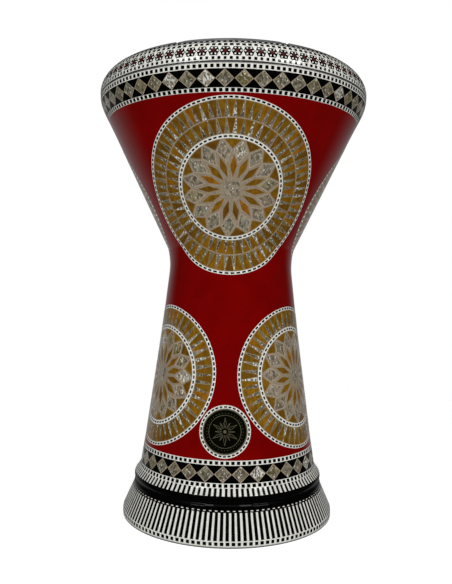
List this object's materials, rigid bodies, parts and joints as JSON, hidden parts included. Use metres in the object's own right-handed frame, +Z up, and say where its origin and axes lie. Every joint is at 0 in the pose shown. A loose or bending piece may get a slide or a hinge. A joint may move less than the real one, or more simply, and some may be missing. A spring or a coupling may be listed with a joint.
{
  "type": "darbuka",
  "caption": "Goblet hand drum with a cast metal shell, an inlaid lacquered skin, a clamped synthetic head and a bolted bevelled tension ring.",
  "frame": {"origin": "centre of the foot rim's resting plane, on the drum's axis", "axes": "+Z up along the drum's axis, -Y towards the front, the side with the badge"},
  "size_m": [0.2678, 0.2678, 0.4395],
  "materials": {
    "cast_metal": "satin machined casting",
    "hoop_metal": "drawn flat bar",
    "film": "smooth white film",
    "ivory_strip": "polished under clear lacquer",
    "black_lacquer": "high gloss",
    "red_lacquer": "high gloss",
    "pearl": "iridescent shell under clear lacquer",
    "amber": "pearly amber under clear lacquer",
    "badge_metal": "dark olive enamel with a bright bevel",
    "rosette_inlay": "polished under clear lacquer",
    "bolt_steel": "machined socket-head screw"
  },
  "bodies": {
    "shell": {"shell": "cast_metal", "foot_border_strip": "ivory_strip", "foot_stave_band": "ivory_strip", "foot_dash_line": "black_lacquer", "neck_band": "black_lacquer", "bead_stave_band": "ivory_strip", "collar_border_strip": "ivory_strip", "lower_diamond_band": "pearl", "field_lower_border_strip": "ivory_strip", "red_field": "red_lacquer", "field_upper_border_strip": "ivory_strip", "upper_diamond_band": "pearl", "shoulder_border_strip": "ivory_strip", "upper_medallion_rims": "ivory_strip", "upper_medallion_outer_wedges": "amber", "upper_medallion_inner_wedges": "amber", "upper_medallion_star_rims": "ivory_strip", "upper_medallion_stars": "pearl", "lower_medallion_rims": "ivory_strip", "lower_medallion_wedges": "amber", "lower_medallion_star_rims": "ivory_strip", "lower_medallion_stars": "pearl", "badge_border_strip": "ivory_strip", "badge_disc": "badge_metal", "head_film": "film", "head_hoop": "hoop_metal"},
    "tension_ring": {"tension_ring": "cast_metal", "ring_lower_border_strip": "ivory_strip", "ring_rosette_band": "rosette_inlay", "ring_upper_border_strip": "ivory_strip", "ring_edge_band": "black_lacquer"},
    "bolt_1": {"bolt_1": "bolt_steel"},
    "bolt_2": {"bolt_2": "bolt_steel"},
    "bolt_3": {"bolt_3": "bolt_steel"},
    "bolt_4": {"bolt_4": "bolt_steel"},
    "bolt_5": {"bolt_5": "bolt_steel"},
    "bolt_6": {"bolt_6": "bolt_steel"},
    "bolt_7": {"bolt_7": "bolt_steel"},
    "bolt_8": {"bolt_8": "bolt_steel"}
  },
  "joints": [
    {"name": "ring_lift", "type": "slide", "parent": "shell", "child": "tension_ring", "axis": [0, 0, 1], "range_m": [0, 0.014]},
    {"name": "bolt_1_turn", "type": "hinge", "parent": "tension_ring", "child": "bolt_1", "pos_m": [0.04516, -0.10902, 0.42], "axis": [0, 0, 1], "range_deg": [-1, 5041]},
    {"name": "bolt_2_turn", "type": "hinge", "parent": "tension_ring", "child": "bolt_2", "pos_m": [0.10902, -0.04516, 0.42], "axis": [0, 0, 1], "range_deg": [-1, 5041]},
    {"name": "bolt_3_turn", "type": "hinge", "parent": "tension_ring", "child": "bolt_3", "pos_m": [0.10902, 0.04516, 0.42], "axis": [0, 0, 1], "range_deg": [-1, 5041]},
    {"name": "bolt_4_turn", "type": "hinge", "parent": "tension_ring", "child": "bolt_4", "pos_m": [0.04516, 0.10902, 0.42], "axis": [0, 0, 1], "range_deg": [-1, 5041]},
    {"name": "bolt_5_turn", "type": "hinge", "parent": "tension_ring", "child": "bolt_5", "pos_m": [-0.04516, 0.10902, 0.42], "axis": [0, 0, 1], "range_deg": [-1, 5041]},
    {"name": "bolt_6_turn", "type": "hinge", "parent": "tension_ring", "child": "bolt_6", "pos_m": [-0.10902, 0.04516, 0.42], "axis": [0, 0, 1], "range_deg": [-1, 5041]},
    {"name": "bolt_7_turn", "type": "hinge", "parent": "tension_ring", "child": "bolt_7", "pos_m": [-0.10902, -0.04516, 0.42], "axis": [0, 0, 1], "range_deg": [-1, 5041]},
    {"name": "bolt_8_turn", "type": "hinge", "parent": "tension_ring", "child": "bolt_8", "pos_m": [-0.04516, -0.10902, 0.42], "axis": [0, 0, 1], "range_deg": [-1, 5041]}
  ],
  "couplings": [
    {"joint": "bolt_1_turn", "follows": "ring_lift", "rad_per_m": 6283.2},
    {"joint": "bolt_2_turn", "follows": "ring_lift", "rad_per_m": 6283.2},
    {"joint": "bolt_3_turn", "follows": "ring_lift", "rad_per_m": 6283.2},
    {"joint": "bolt_4_turn", "follows": "ring_lift", "rad_per_m": 6283.2},
    {"joint": "bolt_5_turn", "follows": "ring_lift", "rad_per_m": 6283.2},
    {"joint": "bolt_6_turn", "follows": "ring_lift", "rad_per_m": 6283.2},
    {"joint": "bolt_7_turn", "follows": "ring_lift", "rad_per_m": 6283.2},
    {"joint": "bolt_8_turn", "follows": "ring_lift", "rad_per_m": 6283.2}
  ]
}
